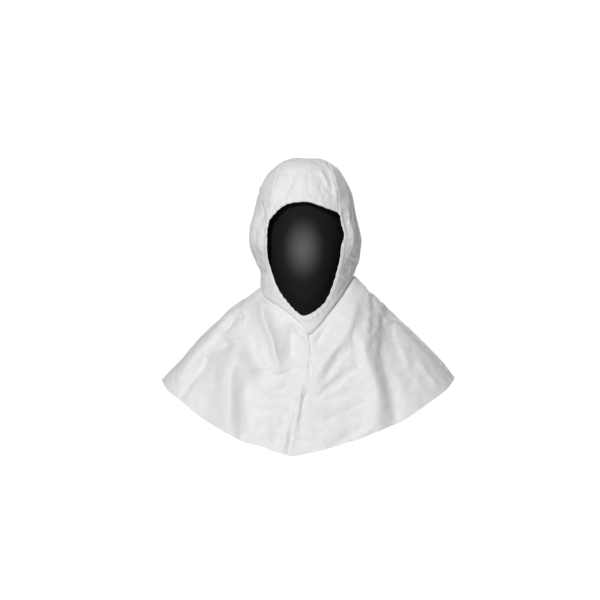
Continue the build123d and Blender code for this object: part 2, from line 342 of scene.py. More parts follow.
def spline(points, closed=False, per_span=24):
    """A dense Catmull-Rom curve through the points."""
    points = np.array(points, float)
    if closed:
        padded = np.concatenate((points[-1:], points, points[:2]))
    else:
        padded = np.concatenate((2 * points[:1] - points[1:2], points, 2 * points[-1:] - points[-2:-1]))
    t = np.linspace(0, 1, per_span, endpoint=False)[:, None]
    pieces = []
    for a, b, c, d in zip(padded, padded[1:], padded[2:], padded[3:]):
        pieces.append(0.5 * (2 * b + (c - a) * t + (2 * a - 5 * b + 4 * c - d) * t**2
                             + (3 * b - a - 3 * c + d) * t**3))
    end = points[:1] if closed else points[-1:]
    return np.concatenate(pieces + [end])


def lengths(curve):
    """The length along a curve up to each of its points."""
    return np.concatenate(([0], np.cumsum(np.linalg.norm(np.diff(curve, axis=0), axis=1))))


def resample(curve, count, crowding=1.0):
    """The curve as count points at equal distances, or crowded towards its start."""
    along = lengths(curve)
    wanted = along[-1] * np.linspace(0, 1, count) ** crowding
    return np.stack([np.interp(wanted, along, column) for column in curve.T], axis=1)


def ring(right, crown, left, crowding=1.0):
    """A closed ring as mesh columns cross it. In the side panels they may crowd towards the chin."""
    points = list(right) + list(crown) + list(left)
    curve = spline(points, closed=True)
    per_span = (len(curve) - 1) // len(points)
    right_end = (len(right) - 1) * per_span
    left_start = (len(right) + len(crown)) * per_span
    parts = (
        resample(curve[: right_end + 1], SIDE_COLUMNS + 1, crowding),
        resample(curve[right_end : left_start + 1], CROWN_COLUMNS + 1)[1:],
        resample(curve[left_start:][::-1], SIDE_COLUMNS + 1, crowding)[::-1][1:],
    )
    return np.concatenate(parts)


def mirrored_ring(crowding, half):
    """A ring that is the same on both sides, from its points on the right."""
    left = [(-x, y, z) for x, y, z in reversed(half[1:-1])]
    return ring(half[:-1], half[-1:], left, crowding)


OUTLINES = [spline(side) * (-1, 1) for side in (HOOD_LEFT, HOOD_RIGHT)]


def hood_section(left, z):
    """Half width, middle and half depth of the hood's form at height z."""
    roundness = np.sqrt(np.clip(1 - (z / CROWN_HEIGHT) ** 2, 0, 1))
    share = np.clip(-z / COLLAR_DROP, 0, 1)
    ease = (1 - np.cos(np.pi * share)) / 2
    above = z >= 0
    half_width = np.where(left, *(np.interp(-z, *side.T) for side in OUTLINES))
    front = np.where(above, -FACE_DEPTH * roundness, -FACE_DEPTH + CHIN_TUCK * share**3)
    back = np.where(above, OCCIPUT_DEPTH * roundness, OCCIPUT_DEPTH - NAPE_TUCK * ease)
    return half_width, (front + back) / 2, (back - front) / 2


def on_hood(points):
    """The points moved straight out from the head's middle onto the hood's form."""
    direction = points - HEAD_MIDDLE
    direction /= np.linalg.norm(direction, axis=-1, keepdims=True)
    near = np.zeros(points.shape[:-1])
    far = np.full(points.shape[:-1], 400.0)
    for _ in range(26):
        reach = (near + far) / 2
        x, y, z = np.moveaxis(HEAD_MIDDLE + direction * reach[..., None], -1, 0)
        half_width, middle, half_depth = hood_section(x < 0, z)
        scale = np.maximum(half_width, 1e-3), np.maximum(half_depth, 1e-3)
        inside = (x / scale[0]) ** 2 + ((y - middle) / scale[1]) ** 2 < 1
        inside &= z < CROWN_HEIGHT
        near = np.where(inside, reach, near)
        far = np.where(inside, far, reach)
    return HEAD_MIDDLE + direction * near[..., None]


def hood_front_y(x, z):
    """How far forward the hood's form is at (x, z)."""
    half_width, middle, half_depth = hood_section(x < 0, z)
    return middle - half_depth * np.sqrt(np.clip(1 - (x / half_width) ** 2, 0, 1))


def outline(slope, hollow, z):
    """The cape's half width at height z, from a straight slope with a hollow in it."""
    (width_a, z_a), (width_b, z_b) = slope
    depth, hollow_z, spread = hollow
    straight = width_a + (z - z_a) * (width_b - width_a) / (z_b - z_a)
    return straight - depth * np.exp(-(((z - hollow_z) / spread) ** 2))


def cape_section(left, z):
    """Half width, middle and half depth of the cape's form at height z."""
    half_width = np.where(left, outline(LEFT_SLOPE, LEFT_HOLLOW, z), outline(RIGHT_SLOPE, RIGHT_HOLLOW, z))
    drop, hem_drop = -NECK_DROP - z, -NECK_DROP - HEM_LOW
    chest = (1 - np.exp(-drop / CHEST_LENGTH)) / (1 - np.exp(-hem_drop / CHEST_LENGTH))
    blades = (1 - np.exp(-drop / BACK_LENGTH)) / (1 - np.exp(-hem_drop / BACK_LENGTH))
    front = -NECK_FRONT + (CAPE_FRONT + NECK_FRONT) * chest
    back = NECK_BACK + (CAPE_BACK - NECK_BACK) * blades
    return half_width, (front + back) / 2, (back - front) / 2


def cape_form(angle, z):
    """A point of the cape's form. The angle runs from 0 in front to pi at the back on the right, and to -pi
    on the left."""
    half_width, middle, half_depth = cape_section(angle < 0, z)
    z = z + 0 * angle
    return np.stack((half_width * np.sin(angle), middle - half_depth * np.cos(angle), z), axis=-1)


def normals_of(grid, outwards_from):
    """Normals of a grid that closes on itself across its columns, averaged by area over nearby cells."""
    reach = NORMAL_REACH
    cells = np.cross(grid[1:, 1:] - grid[:-1, :-1], grid[:-1, 1:] - grid[1:, :-1])
    wrapped = np.concatenate((cells[-reach:], cells, cells[:reach]))
    wrapped = np.pad(wrapped, ((0, 0), (reach, reach), (0, 0)))
    columns, rows = grid.shape[:2]
    spread = sum(wrapped[start : start + columns] for start in range(2 * reach))
    normal = unit(sum(spread[:, start : start + rows] for start in range(2 * reach)))
    if (normal * (grid - outwards_from)).sum() < 0:
        normal = -normal
    return normal


# ---- base grids
def hood_grid():
    """Columns of points from the face opening back to the neck seam."""
    face = ring(FACE_RIGHT, FACE_CROWN, FACE_LEFT)
    face += OPENING_GROWTH * unit(face - face.mean(0))
    face = np.stack((face[:, 0], hood_front_y(face[:, 0], face[:, 1]), face[:, 1]), axis=1)
    neck = ring(NECK_RIGHT, NECK_CROWN, NECK_LEFT)
    apart = smooth(*COLUMN_RANGE, np.linalg.norm(neck - face, axis=1))[:, None]
    rings = [face]
    for share, crowding, half in BETWEEN:
        straight = face + share * (neck - face)
        rings.append(straight + (mirrored_ring(crowding, half) - straight) * apart)
    return np.array([hood_column(points) for points in np.stack([*rings, neck], axis=1)])


def hood_column(points):
    """A column through points from face to neck, which lies on the hood's form except near its ends."""
    path = resample(spline(points, per_span=40), PATH_POINTS)
    share = np.linspace(0, 1, PATH_POINTS)[:, None]
    reach = max(lengths(path)[-1] / EDGE_BLEND, 1)
    offset = on_hood(path) - path
    path = path + offset - offset[0] * (1 - share) ** reach - offset[-1] * share**reach
    return resample(path, HOOD_ROWS + 1)


def hem_height(angle):
    """The height of the hem at an angle round the cape."""
    low, high = np.full(angle.shape, -420.0), np.full(angle.shape, -180.0)
    right, left = (spline(points) for points in (HEM_RIGHT, HEM_LEFT))
    for _ in range(30):
        z = (low + high) / 2
        x = np.abs(cape_form(angle, z)[..., 0])
        hem = np.where(angle >= 0, np.interp(x, *right.T), np.interp(x, *left.T))
        low = np.where(z < hem, z, low)
        high = np.where(z < hem, high, z)
    return low


def evenly_round_hem(end):
    """Angles from the front seam to the one at end, which divide the hem evenly."""
    angle = np.linspace(0, end, 600)  # enough to measure the hem by
    hem = cape_form(angle, hem_height(angle))
    along = lengths(hem)
    return np.interp(np.linspace(0, along[-1], CAPE_COLUMNS + 1), along, angle)


def cape_grid(neck):
    """Columns from the neck seam to the hem, from the back seam round the left, the front and the right."""
    back = SIDE_COLUMNS + CROWN_COLUMNS // 2
    right = resample(neck[: back + 1], CAPE_COLUMNS + 1)
    left = resample(neck[back:], CAPE_COLUMNS + 1)
    top = np.concatenate((left, right[1:]))
    hem_angle = np.concatenate((evenly_round_hem(-math.pi)[::-1], evenly_round_hem(math.pi)[1:]))
    half_width, middle, half_depth = cape_section(hem_angle < 0, top[:, 2])
    top_angle = np.arctan2(top[:, 0] / half_width, (middle - top[:, 1]) / half_depth)
    top_angle[0], top_angle[-1] = -math.pi, math.pi
    hem = hem_height(hem_angle)
    share = np.linspace(0, 1, CAPE_ROWS + 1)
    angle = top_angle[:, None] + (hem_angle - top_angle)[:, None] * share
    z = top[:, 2:] + (hem - top[:, 2])[:, None] * share
    grid = cape_form(angle, z)
    settled = np.exp(-(top[:, 2] - hem)[:, None] * share / NECK_BLEND)[..., None]
    grid = grid + (top - grid[:, 0])[:, None] * settled
    seam_x = np.interp(-grid[..., 2], [-z for _, z in FRONT_SEAM], [x for x, _ in FRONT_SEAM])
    near_seam = np.exp(-((grid[..., 0] / SEAM_SPREAD) ** 2)) * (grid[..., 1] < 0)
    grid[..., 0] += seam_x * near_seam * (1 - settled[..., 0])
    return grid


# ---- folds
def front_view(points):
    """Where each point is seen from the fixed viewing point, as (x, z) on the plane y = 0."""
    tilt = math.radians(VIEW_ELEVATION)
    distance = VIEW_DISTANCE / MM
    x, y, z = np.moveaxis(points - np.array(AIM), -1, 0)
    depth = distance + y * math.cos(tilt) - z * math.sin(tilt)
    up = y * math.sin(tilt) + z * math.cos(tilt)
    return np.stack((AIM[0] + x * distance / depth, AIM[2] + up * distance / depth), axis=-1)


VIEWS = {
    "front": (front_view, (0, -1, 0)),
    "back": (lambda points: points[..., [0, 2]], (0, 1, 0)),
    "left": (lambda points: points[..., [1, 2]], (-1, 0, 0)),
    "right": (lambda points: points[..., [1, 2]], (1, 0, 0)),
}


def nearest_on(curve, spots):
    """How far each spot is from a flat curve, a number that is above 0 on the left of the way it runs, and
    how far along it the spot is, from 0 to 1."""
    along = lengths(curve)
    best = np.full(len(spots), 1e9)
    side, progress = np.zeros(len(spots)), np.zeros(len(spots))
    for start, end, before in zip(curve, curve[1:], along):
        step = end - start
        length = np.linalg.norm(step)
        share = np.clip((spots - start) @ step / length**2, 0, 1)
        away = spots - (start + share[:, None] * step)
        distance = np.linalg.norm(away, axis=1)
        closer = distance < best
        best = np.where(closer, distance, best)
        side = np.where(closer, step[0] * away[:, 1] - step[1] * away[:, 0], side)
        progress = np.where(closer, before + share * length, progress)
    return best, side, progress / along[-1]


def fold(points, normals, view, path, height, right_width, left_width):
    """How far one fold lifts each point."""
    flatten, towards = VIEWS[view]
    flat = flatten(points)
    curve = spline(path, per_span=8)
    reach = 3 * max(right_width, left_width)
    low, high = curve.min(0) - reach, curve.max(0) + reach
    facing = smooth(*FOLD_FACING, normals @ np.array(towards, float))
    near = ((flat > low) & (flat < high)).all(-1) & (facing > 0)
    lift = np.zeros(points.shape[:-1])
    if near.any():
        distance, side, share = nearest_on(curve, flat[near])
        taper = smooth(*FOLD_TAPER, share) * smooth(*FOLD_TAPER, 1 - share)
        width = np.where(side > 0, left_width, right_width)
        profile = 1 / np.cosh(1.6 * distance / width)
        lift[near] = height * profile * taper * facing[near]
    return lift


def folded(grid, normals, folds):
    """How far a table of folds lifts each point."""
    return sum(fold(grid, normals, view, *spec) for view, specs in folds.items() for spec in specs)


def rough(points, height, scale, seed):
    """Smooth noise up to about height each way, with bumps about scale wide."""
    offset = Vector((seed * 17.3, seed * 9.1, seed * 5.7))
    flat = points.reshape(-1, 3) / scale
    return height * np.array([noise.noise(Vector(p) + offset) for p in flat]).reshape(points.shape[:-1])


def faceted(points, height, scale, seed):
    """Flat facets between sharp creases, from 0.3 of the height below to as much above."""
    offset = Vector((seed * 13.7, seed * 7.9, seed * 3.1))
    flat = points.reshape(-1, 3) / scale
    nearest = np.array([noise.voronoi(Vector(p) + offset)[0][:2] for p in flat])
    from_crease = np.minimum(nearest[:, 1] - nearest[:, 0], 0.6).reshape(points.shape[:-1])
    return height * (from_crease - 0.3)


def seam_dip(grid, seam, depth, width):
    """How a seam down one of its columns draws the fabric in, with a puff on both sides."""
    apart = abs(np.arange(len(grid)) - seam)
    near = np.minimum(apart, len(grid) - 1 - apart) < 30
    beside = np.where(near[:, None], np.linalg.norm(grid - grid[seam], axis=-1), 1e3)
    return ridge(beside, 0.55 * depth, 3 * width, 2 * width) - ridge(beside, depth, 0, width)


def gathers(grid, from_face):
    """How the elastic gathers the fabric round the face opening."""
    along = lengths(grid[:, 0])
    waves = np.sin(2 * np.pi * along / GATHER_PITCH + 3 * np.sin(along / 31) + 2 * np.sin(along / 17))
    strength = (0.6 + 0.4 * np.sin(along / 43 + 1)) * smooth(0, GATHER_REST, along)
    strength *= smooth(0, GATHER_REST, along[-1] - along)
    return GATHER_HEIGHT * ((waves * strength)[:, None] * np.exp(-from_face / GATHER_REACH))


# ---- cloth simulation
def finer(grid, times):
    """A grid with each cell divided into times as many, smoothly."""
    columns = np.array([spline(column, per_span=times[1]) for column in grid])
    across = np.moveaxis(columns, 1, 0)
    closed = [spline(row[:-1], closed=True, per_span=times[0]) for row in across]
    return np.moveaxis(np.array(closed), 0, 1)


def new_object(name, points, faces):
    """An object in the scene, from points in millimetres."""
    mesh = bpy.data.meshes.new(name)
    mesh.from_pydata((np.asarray(points) * MM).tolist(), [], [list(face) for face in faces])
    item = bpy.data.objects.new(name, mesh)
    scene.collection.objects.link(item)
    return item


def numbered(grid):
    """The number of each point of a grid."""
    return np.arange(grid.shape[0] * grid.shape[1]).reshape(grid.shape[:2])


def cells(index):
    """A face for each cell of a grid of point numbers."""
    corners = index[:-1, :-1], index[1:, :-1], index[1:, 1:], index[:-1, 1:]
    return np.stack(corners, axis=-1).reshape(-1, 4)


def add_weights(item, name, values):
    """A vertex group of the cloth, with its weights rounded to hundredths."""
    group = item.vertex_groups.new(name=name)
    levels = np.round(values[:-1].reshape(-1), 2)
    for level in np.unique(levels):
        group.add(np.where(levels == level)[0].tolist(), float(level), "REPLACE")


def add_cloth(item, most_spare):
    """Make an object weightless cloth, pinned where it is held, with less to spare where it is snug."""
    cloth = item.modifiers.new("cloth", "CLOTH")
    settings = cloth.settings
    settings.vertex_group_mass = "held"
    settings.vertex_group_shrink = "snug"
    for name, value in CLOTH:
        setattr(settings, name, value)
    settings.shrink_min, settings.shrink_max = -most_spare, 0
    settings.effector_weights.gravity = 0
    cloth.collision_settings.use_collision = False
    cloth.point_cache.frame_start, cloth.point_cache.frame_end = 1, FRAMES


def crumpled(grid, held, spare, times):
    """How far a cloth simulation moves a grid that has a share of spare cloth, so that it buckles into
    creases. Held is how firmly each point keeps its place. It runs on cells that are times as large."""
    grid, held, spare = (values[:: times[0], :: times[1]] for values in (grid, held, spare))
    index = numbered(grid[:-1])
    faces = cells(np.concatenate((index, index[:1]))).tolist()
    item = new_object("cloth", grid[:-1].reshape(-1, 3), faces)
    add_weights(item, "held", held)
    add_weights(item, "snug", 1 - spare / spare.max())
    add_cloth(item, spare.max())
    for frame in range(1, FRAMES + 1):
        scene.frame_set(frame)
    result = item.evaluated_get(bpy.context.evaluated_depsgraph_get())
    moved = np.empty(grid[:-1].size)
    result.data.vertices.foreach_get("co", moved)
    moved = moved.reshape(grid[:-1].shape) / MM
    scene.frame_set(1)
    mesh = item.data
    bpy.data.objects.remove(item)
    bpy.data.meshes.remove(mesh)
    return finer(np.concatenate((moved, moved[:1])) - grid, times)


# ---- shaping the fabric
def lengths_of_columns(grid):
    return np.linalg.norm(np.diff(grid, axis=1), axis=2).sum(1)


def down_columns(grid):
    """How far each point lies down its column."""
    return np.linspace(0, 1, grid.shape[1]) * lengths_of_columns(grid)[:, None]


def creased_hood():
    """The hood with its folds and the simulation's creases."""
    grid = hood_grid()
    normals = normals_of(grid, HEAD_MIDDLE)
    lift = folded(grid, normals, HOOD_FOLDS)
    lift += rough(grid, *HOOD_SWELLS)
    from_face = down_columns(grid)
    lift -= lift[:, :1] * np.exp(-from_face / 12)
    grid = grid + normals * lift[..., None]
    to_neck = lengths_of_columns(grid)[:, None] - from_face
    held = np.clip(HOLD + 1.2 * np.exp(-from_face / 9) + 1.2 * np.exp(-to_neck / 7), 0, 1)
    spare = HOOD_SPARE * smooth(0, 30, from_face) * smooth(0, 40, to_neck)
    return grid + crumpled(grid, held, spare, (2, 3))


def shaped_hood():
    """The hood's finished outer surface and its normals."""
    grid = creased_hood()
    normals = normals_of(grid, HEAD_MIDDLE)
    from_face = down_columns(grid)
    to_neck = lengths_of_columns(grid)[:, None] - from_face
    lift = gathers(grid, from_face)
    lift -= ridge(from_face, *OPENING_ROLL)
    lift -= ridge(from_face, *STITCH_GROOVE)
    lift += ridge(to_neck, *HOOD_NECK_RIDGE) - ridge(to_neck, *HOOD_NECK_GROOVE)
    lift += seam_dip(grid, SIDE_COLUMNS, *CROWN_SEAM_DIP) + seam_dip(grid, LEFT_START, *CROWN_SEAM_DIP)
    lift += faceted(grid, *HOOD_FACETS) + rough(grid, *HOOD_RIPPLES)
    grid = grid + normals * lift[..., None]
    return grid, normals_of(grid, HEAD_MIDDLE)


def cape_folds(narrow):
    """The cape's narrow folds, or its wider ones."""
    return {view: [spec for spec in folds if (min(spec[2:]) <= NARROW) == narrow]
            for view, folds in CAPE_FOLDS.items()}


def creased_cape(neck):
    """The cape with its wider folds and the simulation's creases, and each point's way to the neck seam."""
    grid = cape_grid(neck)
    normals = normals_of(grid, CAPE_MIDDLE)
    to_neck = down_columns(grid)
    lift = FOLD_DEPTH * folded(grid, normals, cape_folds(narrow=False))
    lift += rough(grid, *CAPE_SWELLS)
    grid = grid + normals * (lift * smooth(0, 14, to_neck))[..., None]
    to_hem = lengths_of_columns(grid)[:, None] - to_neck
    held = np.clip(HOLD + 1.2 * np.exp(-to_neck / 8) + 0.5 * np.exp(-to_hem / 8), 0, 1)
    calm = 1 - CALM_SHARE * smooth(*CALM_RANGE, abs(grid[..., 0]))
    spare = CAPE_SPARE * smooth(15, 110, to_neck) * smooth(0, 30, to_hem) * calm
    return grid + crumpled(grid, held, spare + LEAST_SPARE, (2, 2)), to_neck


def shaped_cape(neck):
    """The cape's finished outer surface and its normals."""
    grid, to_neck = creased_cape(neck)
    normals = normals_of(grid, CAPE_MIDDLE)
    lift = CREASE_DEPTH * folded(grid, normals, cape_folds(narrow=True))
    lift += ridge(to_neck, *CAPE_NECK_RIDGE)
    lift += faceted(grid, *CAPE_FACETS) + rough(grid, *CAPE_RIPPLES)
    lift += seam_dip(grid, CAPE_COLUMNS, *CAPE_SEAM_DIP) + seam_dip(grid, 0, *CAPE_SEAM_DIP)
    lift *= smooth(0, 6, to_neck)
    grid = grid + normals * lift[..., None]
    return grid, normals_of(grid, CAPE_MIDDLE)


# ---- meshes
def add_piece(name, points, faces, material, slot, nodes):
    """One piece of the object, from points in millimetres, which stands for CAD nodes."""
    piece = new_object(name, points, faces)
    piece.data.materials.append(material)
    piece.data.shade_smooth()
    piece.data.set_sharp_from_angle(angle=math.radians(60))
    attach(piece, "root")
    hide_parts(*nodes)
    return piece


def sheet_mesh(outer, normals, thickness):
    """Points and faces of a closed sheet: the outer grid, an inner one, and the cut edges between."""
    inner = outer - normals * thickness
    index = numbered(outer)
    count, quads = index.size, cells(index)
    edge = np.concatenate((index[:-1, 0], index[-1, :-1], index[:0:-1, -1], index[0, :0:-1]))
    following = np.roll(edge, -1)
    rim = np.stack((following, edge, edge + count, following + count), axis=-1)
    faces = np.concatenate((quads, quads[:, ::-1] + count, rim))
    across, down = outer[1, 1] - outer[0, 1], outer[0, 2] - outer[0, 1]
    if np.cross(across, down) @ normals[0, 1] < 0:
        faces = faces[:, ::-1]
    return np.concatenate((outer.reshape(-1, 3), inner.reshape(-1, 3))), faces.tolist()


def sharpen_cut_edges(sheet, shape):
    """Let no shading run round a sheet's cut edges. Shape is that of the grid it was made from."""
    at_edge = np.ones(shape, bool)
    at_edge[1:-1, 1:-1] = False
    at_edge = np.tile(at_edge.reshape(-1), 2)
    edges = sheet.data.edges
    ends, sharp = np.empty(2 * len(edges), int), np.empty(len(edges), bool)
    edges.foreach_get("vertices", ends)
    edges.foreach_get("use_edge_sharp", sharp)
    edges.foreach_set("use_edge_sharp", sharp | at_edge[ends].reshape(-1, 2).all(axis=1))


def swept(section, closed):
    """Points and faces of a solid swept from stations x loop points, closed on itself or capped."""
    index = numbered(section)
    rounded = np.concatenate((index, index[:, :1]), axis=1)
    if closed:
        faces = cells(np.concatenate((rounded, rounded[:1]))).tolist()
    else:
        faces = cells(rounded).tolist() + [index[0].tolist(), index[-1, ::-1].tolist()]
    return section.reshape(-1, 3), faces


def joined(meshes):
    """Several lots of points and faces as one."""
    points, faces, count = [], [], 0
    for some_points, some_faces in meshes:
        points.append(some_points)
        faces += [[corner + count for corner in face] for face in some_faces]
        count += len(some_points)
    return np.concatenate(points), faces


def thread_tube(path, sides):
    """A thread along a path, with this many sides."""
    path = np.asarray(path, float)
    along = unit(np.gradient(path, axis=0))
    aside = unit(np.cross(along, (0.31, 0.52, 0.79)))
    upright = np.cross(along, aside)
    turn = np.linspace(0, 2 * np.pi, sides, endpoint=False)
    rim = np.cos(turn)[None, :, None] * aside[:, None] + np.sin(turn)[None, :, None] * upright[:, None]
    return swept(path[:, None] + THREAD_RADIUS * rim, closed=False)


def serged_seam(spine, inward):
    """A serged seam allowance that stands inwards along a spine, with thread looped round it."""
    inward = unit(inward + 0 * spine)
    stations = max(int(lengths(spine)[-1] / SERGE_STEP), 8)
    even = resample(np.concatenate((spine, inward), axis=1), stations)
    spine, inward = even[:, :3], unit(even[:, 3:])
    spine = spine + SERGE_GAP * inward
    across = unit(np.cross(np.gradient(spine, axis=0), inward))
    along = lengths(spine)
    sway = (0.6 * np.sin(along / 9) + 0.4 * np.sin(along / 3.7 + 1))[:, None] * across
    depth = SERGE_DEPTH + 0.4 * np.sin(along / 5.3)
    half = SERGE_THICKNESS / 2
    section = [spine + inward * depth[:, None] * share + across * side + sway * share
               for share, side in ((0, -half), (0, half), (1, half), (1, -half))]
    fin = swept(np.stack(section, axis=1), closed=False)
    return joined((fin, thread_tube(overlock_path(spine, inward, across, sway, depth), sides=4)))


def overlock_path(spine, inward, across, sway, depth):
    """The points of the thread that is looped round a serged edge."""
    beside = SERGE_THICKNESS / 2 + THREAD_CLEARANCE
    path = []
    for station in range(0, len(spine) - SERGE_PITCH, SERGE_PITCH):
        for step, share, side in SERGE_LOOP:
            row = min(station + step * SERGE_PITCH / 2, len(spine) - 1)
            low = int(row)
            reach = inward[low] * depth[low] * share
            path.append(at_row(spine, row) + reach + across[low] * side * beside + sway[low] * share)
    return path


# ---- materials
def new_material(name):
    """A material, its nodes, its links and its shader."""
    material = bpy.data.materials.new(name)
    material.use_nodes = True
    nodes = material.node_tree.nodes
    return material, nodes, material.node_tree.links, nodes["Principled BSDF"]


def set_inputs(node, values):
    for name, value in values.items():
        node.inputs[name].default_value = value


def pattern(nodes, links, kind, vector, values, **options):
    """The strength of a texture, from a node of some kind."""
    texture = nodes.new(kind)
    for name, value in options.items():
        setattr(texture, name, value)
    set_inputs(texture, values)
    links.new(vector, texture.inputs["Vector"])
    return texture.outputs["Fac"]


def ramp(nodes, links, strength, ends, interpolation="LINEAR"):
    """A colour that runs between two ends, each a strength and a colour."""
    node = nodes.new("ShaderNodeValToRGB")
    node.color_ramp.interpolation = interpolation
    for element, (position, colour) in zip(node.color_ramp.elements, ends):
        element.position = position
        element.color = (*colour, 1)
    links.new(strength, node.inputs["Fac"])
    return node.outputs["Color"]


def mottled(nodes, links, vector, scale, low, high):
    """A noise of a given scale, per metre, that runs between two colours."""
    strength = pattern(nodes, links, "ShaderNodeTexNoise", vector, {"Scale": scale, "Detail": 4})
    return ramp(nodes, links, strength, ((0.35, low), (0.65, high)))


def bumped(nodes, links, height, distance, strength, under=None):
    """The normal of a bump map, laid over another if there is one."""
    node = nodes.new("ShaderNodeBump")
    set_inputs(node, {"Distance": distance, "Strength": strength})
    links.new(height, node.inputs["Height"])
    if under:
        links.new(under, node.inputs["Normal"])
    return node.outputs["Normal"]


def nonwoven():
    """White film-coated nonwoven: cloudy, matt, with fine fibres laid every way."""
    material, nodes, links, shader = new_material("white_nonwoven")
    vector = nodes.new("ShaderNodeTexCoord").outputs["Object"]
    clouds = mottled(nodes, links, vector, 70, (0.83, 0.83, 0.82), (0.86, 0.86, 0.855))
    links.new(clouds, shader.inputs["Base Color"])
    fibres = pattern(nodes, links, "ShaderNodeTexNoise", vector,
                     {"Scale": 900, "Detail": 6, "Roughness": 0.65, "Distortion": 1.6})
    pebbles = pattern(nodes, links, "ShaderNodeTexNoise", vector, {"Scale": 210, "Detail": 3})
    coarse = bumped(nodes, links, pebbles, 0.0006, 0.5)
    links.new(bumped(nodes, links, fibres, 0.0002, 0.5, coarse), shader.inputs["Normal"])
    set_inputs(shader, {"Roughness": 0.62, "Specular IOR Level": 0.35, "Sheen Weight": 0.08,
                        "Sheen Roughness": 0.6})
    return material


def woven(name, low, high, scale, roughness):
    """A fine textile, ribbed along Z and across it."""
    material, nodes, links, shader = new_material(name)
    vector = nodes.new("ShaderNodeTexCoord").outputs["Object"]
    links.new(mottled(nodes, links, vector, scale / 8, low, high), shader.inputs["Base Color"])
    total = nodes.new("ShaderNodeMath")
    total.operation = "ADD"
    values = {"Scale": scale, "Distortion": 1.5}
    for direction, entry in zip(("X", "Z"), total.inputs):
        ribs = pattern(nodes, links, "ShaderNodeTexWave", vector, values, bands_direction=direction)
        links.new(ribs, entry)
    links.new(bumped(nodes, links, total.outputs[0], 0.0002, 0.7), shader.inputs["Normal"])
    set_inputs(shader, {"Roughness": roughness})
    return material


# ---- the pieces
FABRIC = nonwoven()
ELASTIC = woven("white_braided_elastic", (0.74, 0.74, 0.72), (0.82, 0.82, 0.80), 420, 0.7)
THREAD = woven("white_thread", (0.76, 0.76, 0.74), (0.84, 0.84, 0.82), 1500, 0.55)
SERGING = woven("white_serged_edge", (0.76, 0.76, 0.74), (0.84, 0.84, 0.82), 700, 0.65)
RIBBON = woven("white_satin_ribbon", (0.80, 0.80, 0.79), (0.86, 0.86, 0.85), 900, 0.35)

hood, hood_normals = shaped_hood()
cape, cape_normals = shaped_cape(hood[:, -1])

PANELS = (  # name, node, what it is cut from, first and last column
    ("crown_fabric", "crown_panel", hood, hood_normals, SIDE_COLUMNS, LEFT_START),
    ("hood_side_right_fabric", "hood_side_right", hood, hood_normals, 0, SIDE_COLUMNS),
    ("hood_side_left_fabric", "hood_side_left", hood, hood_normals, LEFT_START, len(hood) - 1),
    ("cape_right_fabric", "cape_right", cape, cape_normals, CAPE_COLUMNS, 2 * CAPE_COLUMNS),
    ("cape_left_fabric", "cape_left", cape, cape_normals, 0, CAPE_COLUMNS),
)
for name, node, grid, normals, first, last in PANELS:
    points, faces = sheet_mesh(grid[first : last + 1], normals[first : last + 1], SHELL)
    panel = add_piece(name, points, faces, FABRIC, "nonwoven", [node])
    sharpen_cut_edges(panel, grid[first : last + 1].shape[:2])


def face_band(loop):
    """Stations round the face opening, each with a loop of (distance from the edge, depth) points.
    Distances below 0 are past the edge, in line with the last 4 mm of fabric."""
    spacing = lengths_of_columns(hood) / HOOD_ROWS
    stations = []
    for column, normal, step in zip(hood[:-1], hood_normals[:-1], spacing):
        farther = column[int(4 / step)]
        out = (column[0] - farther) / np.linalg.norm(column[0] - farther)
        station = []
        for distance, depth in loop:
            row = max(distance, 0) / step
            point = at_row(column, row) + out * max(-distance, 0)
            station.append(point - at_row(normal, row) * depth)
        stations.append(station)
    return np.array(stations)


def thickened(line, thickness):
    """A closed loop round an open line of (distance, depth) points."""
    line = spline(line, per_span=3)
    along = unit(np.gradient(line, axis=0))
    aside = np.stack((-along[:, 1], along[:, 0]), axis=1) * thickness / 2
    return np.concatenate((line + aside, (line - aside)[::-1]))


casing = swept(face_band(thickened(CASING_LINE, SHELL)), closed=True)
add_piece("face_casing_fold", *casing, FABRIC, "nonwoven", ["face_casing"])
elastic = swept(face_band(ELASTIC_LOOP), closed=True)
add_piece("face_elastic_band", *elastic, ELASTIC, "elastic", ["face_elastic"])


def stitches():
    """A row of short threads round the face opening."""
    line = face_band([STITCH_LINE])[:, 0]
    closed_line = np.concatenate((line, line[:1]))
    count = int(lengths(closed_line)[-1] / STITCH_PITCH)
    fine = resample(closed_line, count * STITCH_POINTS + 1)
    starts = range(0, len(fine) - STITCH_POINTS, STITCH_POINTS)
    return joined([thread_tube(fine[start : start + THREAD_POINTS], sides=5) for start in starts])


add_piece("casing_stitches", *stitches(), THREAD, "thread", ["casing_stitching"])

past_casing = (HOOD_ROWS * CASING_WIDTH / lengths_of_columns(hood)).astype(int)
neck_seam = hood[:, -1]
spines = {}  # of each serged seam, with the way inwards
for side, column in (("right", SIDE_COLUMNS), ("left", LEFT_START)):
    spine = hood[column, past_casing[column] : HOOD_ROWS - CROWN_SEAM_STOP]
    spines[f"crown_seam_{side}"] = (spine, HEAD_MIDDLE - spine)
spines["chin_seam"] = (hood[0, past_casing[0] : HOOD_ROWS], (0, 1, 0))
spines["neck_seam"] = (neck_seam, neck_seam * (-1, -1, 0))
spines["cape_front_seam"] = (cape[CAPE_COLUMNS, CAPE_SEAM_START:], (0, 1, 0))
spines["cape_back_seam"] = (cape[0, CAPE_SEAM_START:], (0, -1, 0))
for node, (spine, inward) in spines.items():
    add_piece(f"{node}_serged", *serged_seam(spine, inward), SERGING, "serging", [node])


